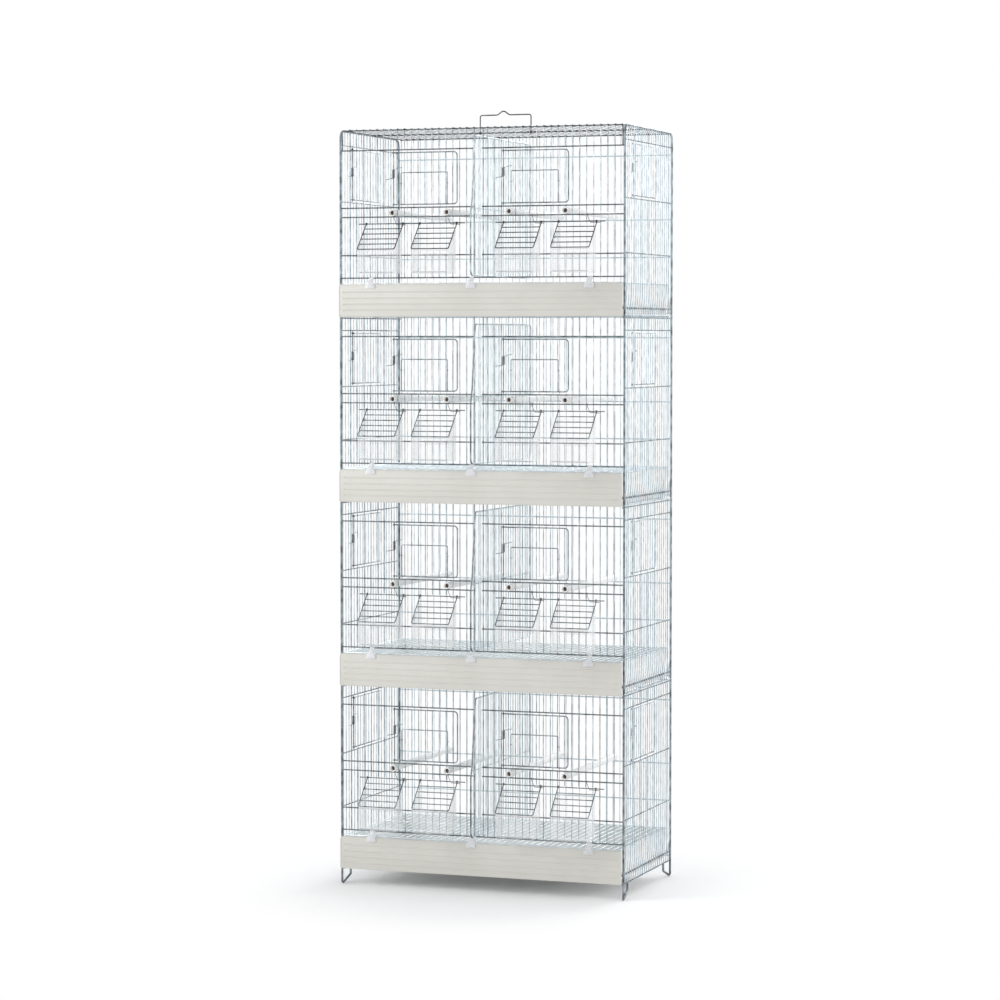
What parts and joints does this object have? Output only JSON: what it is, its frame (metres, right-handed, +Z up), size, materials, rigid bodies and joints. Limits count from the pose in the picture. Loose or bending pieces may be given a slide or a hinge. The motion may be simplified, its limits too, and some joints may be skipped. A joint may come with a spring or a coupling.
{
  "type": "canary breeding cage",
  "caption": "Stack of galvanised wire bird breeding cages with pull-out trays, floor grids, dividers, sprung doors and hooded feeder cups.",
  "frame": {"origin": "on the floor under the middle of the whole rack, feeder cups included", "axes": "+X to the right seen from the front, +Y to the back, +Z up"},
  "size_m": [0.6, 0.3688, 1.5569],
  "materials": {
    "galvanised_wire": "bright zinc-plated wire",
    "tray_plastic": "satin moulded",
    "clear_plastic": "clear moulded"
  },
  "bodies": {
    "rack": {"side_panels_left": "galvanised_wire", "side_panels_right": "galvanised_wire", "back_panels": "galvanised_wire", "roof_panel": "galvanised_wire", "front_panel_1": "galvanised_wire", "feeder_cup_1_a": "clear_plastic", "feeder_cup_1_b": "clear_plastic", "feeder_cup_1_c": "clear_plastic", "feeder_cup_1_d": "clear_plastic", "front_panel_2": "galvanised_wire", "feeder_cup_2_a": "clear_plastic", "feeder_cup_2_b": "clear_plastic", "feeder_cup_2_c": "clear_plastic", "feeder_cup_2_d": "clear_plastic", "front_panel_3": "galvanised_wire", "feeder_cup_3_a": "clear_plastic", "feeder_cup_3_b": "clear_plastic", "feeder_cup_3_c": "clear_plastic", "feeder_cup_3_d": "clear_plastic", "front_panel_4": "galvanised_wire", "feeder_cup_4_a": "clear_plastic", "feeder_cup_4_b": "clear_plastic", "feeder_cup_4_c": "clear_plastic", "feeder_cup_4_d": "clear_plastic"},
    "tray_1": {"tray_1": "tray_plastic"},
    "floor_grid_1": {"floor_grid_1": "galvanised_wire"},
    "divider_1": {"divider_1": "galvanised_wire"},
    "front_door_1_left": {"front_door_1_left": "galvanised_wire"},
    "front_door_1_right": {"front_door_1_right": "galvanised_wire"},
    "side_door_1_left": {"side_door_1_left": "galvanised_wire"},
    "feeder_flaps_1_left": {"feeder_flaps_1_left": "galvanised_wire"},
    "side_door_1_right": {"side_door_1_right": "galvanised_wire"},
    "feeder_flaps_1_right": {"feeder_flaps_1_right": "galvanised_wire"},
    "tray_2": {"tray_2": "tray_plastic"},
    "floor_grid_2": {"floor_grid_2": "galvanised_wire"},
    "divider_2": {"divider_2": "galvanised_wire"},
    "front_door_2_left": {"front_door_2_left": "galvanised_wire"},
    "front_door_2_right": {"front_door_2_right": "galvanised_wire"},
    "side_door_2_left": {"side_door_2_left": "galvanised_wire"},
    "feeder_flaps_2_left": {"feeder_flaps_2_left": "galvanised_wire"},
    "side_door_2_right": {"side_door_2_right": "galvanised_wire"},
    "feeder_flaps_2_right": {"feeder_flaps_2_right": "galvanised_wire"},
    "tray_3": {"tray_3": "tray_plastic"},
    "floor_grid_3": {"floor_grid_3": "galvanised_wire"},
    "divider_3": {"divider_3": "galvanised_wire"},
    "front_door_3_left": {"front_door_3_left": "galvanised_wire"},
    "front_door_3_right": {"front_door_3_right": "galvanised_wire"},
    "side_door_3_left": {"side_door_3_left": "galvanised_wire"},
    "feeder_flaps_3_left": {"feeder_flaps_3_left": "galvanised_wire"},
    "side_door_3_right": {"side_door_3_right": "galvanised_wire"},
    "feeder_flaps_3_right": {"feeder_flaps_3_right": "galvanised_wire"},
    "tray_4": {"tray_4": "tray_plastic"},
    "floor_grid_4": {"floor_grid_4": "galvanised_wire"},
    "divider_4": {"divider_4": "galvanised_wire"},
    "front_door_4_left": {"front_door_4_left": "galvanised_wire"},
    "front_door_4_right": {"front_door_4_right": "galvanised_wire"},
    "side_door_4_left": {"side_door_4_left": "galvanised_wire"},
    "feeder_flaps_4_left": {"feeder_flaps_4_left": "galvanised_wire"},
    "side_door_4_right": {"side_door_4_right": "galvanised_wire"},
    "feeder_flaps_4_right": {"feeder_flaps_4_right": "galvanised_wire"}
  },
  "joints": [
    {"name": "tray_1_slide", "type": "slide", "parent": "rack", "child": "tray_1", "axis": [0, -1, 0], "range_m": [0, 0.29]},
    {"name": "floor_grid_1_slide", "type": "slide", "parent": "rack", "child": "floor_grid_1", "axis": [0, -1, 0], "range_m": [0, 0.29]},
    {"name": "divider_1_slide", "type": "slide", "parent": "rack", "child": "divider_1", "axis": [0, -1, 0], "range_m": [0, 0.29]},
    {"name": "front_door_1_left_hinge", "type": "hinge", "parent": "rack", "child": "front_door_1_left", "pos_m": [-0.1832, -0.13244, 0.3068], "axis": [0, 0, -1], "range_deg": [0, 105], "stiffness_Nm_per_rad": 0.02},
    {"name": "front_door_1_right_hinge", "type": "hinge", "parent": "rack", "child": "front_door_1_right", "pos_m": [0.0486, -0.13244, 0.3068], "axis": [0, 0, -1], "range_deg": [0, 105], "stiffness_Nm_per_rad": 0.02},
    {"name": "side_door_1_left_hinge", "type": "hinge", "parent": "rack", "child": "side_door_1_left", "pos_m": [-0.2968, -0.07244, 0.3198], "axis": [0, 0, 1], "range_deg": [0, 105], "stiffness_Nm_per_rad": 0.02},
    {"name": "feeder_flaps_1_left_hinge", "type": "hinge", "parent": "rack", "child": "feeder_flaps_1_left", "pos_m": [-0.1452, -0.13265, 0.218], "axis": [-1, 0, 0], "range_deg": [0, 70]},
    {"name": "side_door_1_right_hinge", "type": "hinge", "parent": "rack", "child": "side_door_1_right", "pos_m": [0.2968, -0.07244, 0.3198], "axis": [0, 0, -1], "range_deg": [0, 105], "stiffness_Nm_per_rad": 0.02},
    {"name": "feeder_flaps_1_right_hinge", "type": "hinge", "parent": "rack", "child": "feeder_flaps_1_right", "pos_m": [0.1452, -0.13265, 0.218], "axis": [-1, 0, 0], "range_deg": [0, 70]},
    {"name": "tray_2_slide", "type": "slide", "parent": "rack", "child": "tray_2", "axis": [0, -1, 0], "range_m": [0, 0.29]},
    {"name": "floor_grid_2_slide", "type": "slide", "parent": "rack", "child": "floor_grid_2", "axis": [0, -1, 0], "range_m": [0, 0.29]},
    {"name": "divider_2_slide", "type": "slide", "parent": "rack", "child": "divider_2", "axis": [0, -1, 0], "range_m": [0, 0.29]},
    {"name": "front_door_2_left_hinge", "type": "hinge", "parent": "rack", "child": "front_door_2_left", "pos_m": [-0.1832, -0.13244, 0.6764], "axis": [0, 0, -1], "range_deg": [0, 105], "stiffness_Nm_per_rad": 0.02},
    {"name": "front_door_2_right_hinge", "type": "hinge", "parent": "rack", "child": "front_door_2_right", "pos_m": [0.0486, -0.13244, 0.6764], "axis": [0, 0, -1], "range_deg": [0, 105], "stiffness_Nm_per_rad": 0.02},
    {"name": "side_door_2_left_hinge", "type": "hinge", "parent": "rack", "child": "side_door_2_left", "pos_m": [-0.2968, -0.07244, 0.6894], "axis": [0, 0, 1], "range_deg": [0, 105], "stiffness_Nm_per_rad": 0.02},
    {"name": "feeder_flaps_2_left_hinge", "type": "hinge", "parent": "rack", "child": "feeder_flaps_2_left", "pos_m": [-0.1452, -0.13265, 0.5876], "axis": [-1, 0, 0], "range_deg": [0, 70]},
    {"name": "side_door_2_right_hinge", "type": "hinge", "parent": "rack", "child": "side_door_2_right", "pos_m": [0.2968, -0.07244, 0.6894], "axis": [0, 0, -1], "range_deg": [0, 105], "stiffness_Nm_per_rad": 0.02},
    {"name": "feeder_flaps_2_right_hinge", "type": "hinge", "parent": "rack", "child": "feeder_flaps_2_right", "pos_m": [0.1452, -0.13265, 0.5876], "axis": [-1, 0, 0], "range_deg": [0, 70]},
    {"name": "tray_3_slide", "type": "slide", "parent": "rack", "child": "tray_3", "axis": [0, -1, 0], "range_m": [0, 0.29]},
    {"name": "floor_grid_3_slide", "type": "slide", "parent": "rack", "child": "floor_grid_3", "axis": [0, -1, 0], "range_m": [0, 0.29]},
    {"name": "divider_3_slide", "type": "slide", "parent": "rack", "child": "divider_3", "axis": [0, -1, 0], "range_m": [0, 0.29]},
    {"name": "front_door_3_left_hinge", "type": "hinge", "parent": "rack", "child": "front_door_3_left", "pos_m": [-0.1832, -0.13244, 1.046], "axis": [0, 0, -1], "range_deg": [0, 105], "stiffness_Nm_per_rad": 0.02},
    {"name": "front_door_3_right_hinge", "type": "hinge", "parent": "rack", "child": "front_door_3_right", "pos_m": [0.0486, -0.13244, 1.046], "axis": [0, 0, -1], "range_deg": [0, 105], "stiffness_Nm_per_rad": 0.02},
    {"name": "side_door_3_left_hinge", "type": "hinge", "parent": "rack", "child": "side_door_3_left", "pos_m": [-0.2968, -0.07244, 1.059], "axis": [0, 0, 1], "range_deg": [0, 105], "stiffness_Nm_per_rad": 0.02},
    {"name": "feeder_flaps_3_left_hinge", "type": "hinge", "parent": "rack", "child": "feeder_flaps_3_left", "pos_m": [-0.1452, -0.13265, 0.9572], "axis": [-1, 0, 0], "range_deg": [0, 70]},
    {"name": "side_door_3_right_hinge", "type": "hinge", "parent": "rack", "child": "side_door_3_right", "pos_m": [0.2968, -0.07244, 1.059], "axis": [0, 0, -1], "range_deg": [0, 105], "stiffness_Nm_per_rad": 0.02},
    {"name": "feeder_flaps_3_right_hinge", "type": "hinge", "parent": "rack", "child": "feeder_flaps_3_right", "pos_m": [0.1452, -0.13265, 0.9572], "axis": [-1, 0, 0], "range_deg": [0, 70]},
    {"name": "tray_4_slide", "type": "slide", "parent": "rack", "child": "tray_4", "axis": [0, -1, 0], "range_m": [0, 0.29]},
    {"name": "floor_grid_4_slide", "type": "slide", "parent": "rack", "child": "floor_grid_4", "axis": [0, -1, 0], "range_m": [0, 0.29]},
    {"name": "divider_4_slide", "type": "slide", "parent": "rack", "child": "divider_4", "axis": [0, -1, 0], "range_m": [0, 0.29]},
    {"name": "front_door_4_left_hinge", "type": "hinge", "parent": "rack", "child": "front_door_4_left", "pos_m": [-0.1832, -0.13244, 1.4156], "axis": [0, 0, -1], "range_deg": [0, 105], "stiffness_Nm_per_rad": 0.02},
    {"name": "front_door_4_right_hinge", "type": "hinge", "parent": "rack", "child": "front_door_4_right", "pos_m": [0.0486, -0.13244, 1.4156], "axis": [0, 0, -1], "range_deg": [0, 105], "stiffness_Nm_per_rad": 0.02},
    {"name": "side_door_4_left_hinge", "type": "hinge", "parent": "rack", "child": "side_door_4_left", "pos_m": [-0.2968, -0.07244, 1.4286], "axis": [0, 0, 1], "range_deg": [0, 105], "stiffness_Nm_per_rad": 0.02},
    {"name": "feeder_flaps_4_left_hinge", "type": "hinge", "parent": "rack", "child": "feeder_flaps_4_left", "pos_m": [-0.1452, -0.13265, 1.3268], "axis": [-1, 0, 0], "range_deg": [0, 70]},
    {"name": "side_door_4_right_hinge", "type": "hinge", "parent": "rack", "child": "side_door_4_right", "pos_m": [0.2968, -0.07244, 1.4286], "axis": [0, 0, -1], "range_deg": [0, 105], "stiffness_Nm_per_rad": 0.02},
    {"name": "feeder_flaps_4_right_hinge", "type": "hinge", "parent": "rack", "child": "feeder_flaps_4_right", "pos_m": [0.1452, -0.13265, 1.3268], "axis": [-1, 0, 0], "range_deg": [0, 70]}
  ],
  "couplings": [
    {"joint": "floor_grid_1_slide", "follows": "tray_1_slide", "ratio": 1},
    {"joint": "floor_grid_2_slide", "follows": "tray_2_slide", "ratio": 1},
    {"joint": "floor_grid_3_slide", "follows": "tray_3_slide", "ratio": 1},
    {"joint": "floor_grid_4_slide", "follows": "tray_4_slide", "ratio": 1}
  ]
}
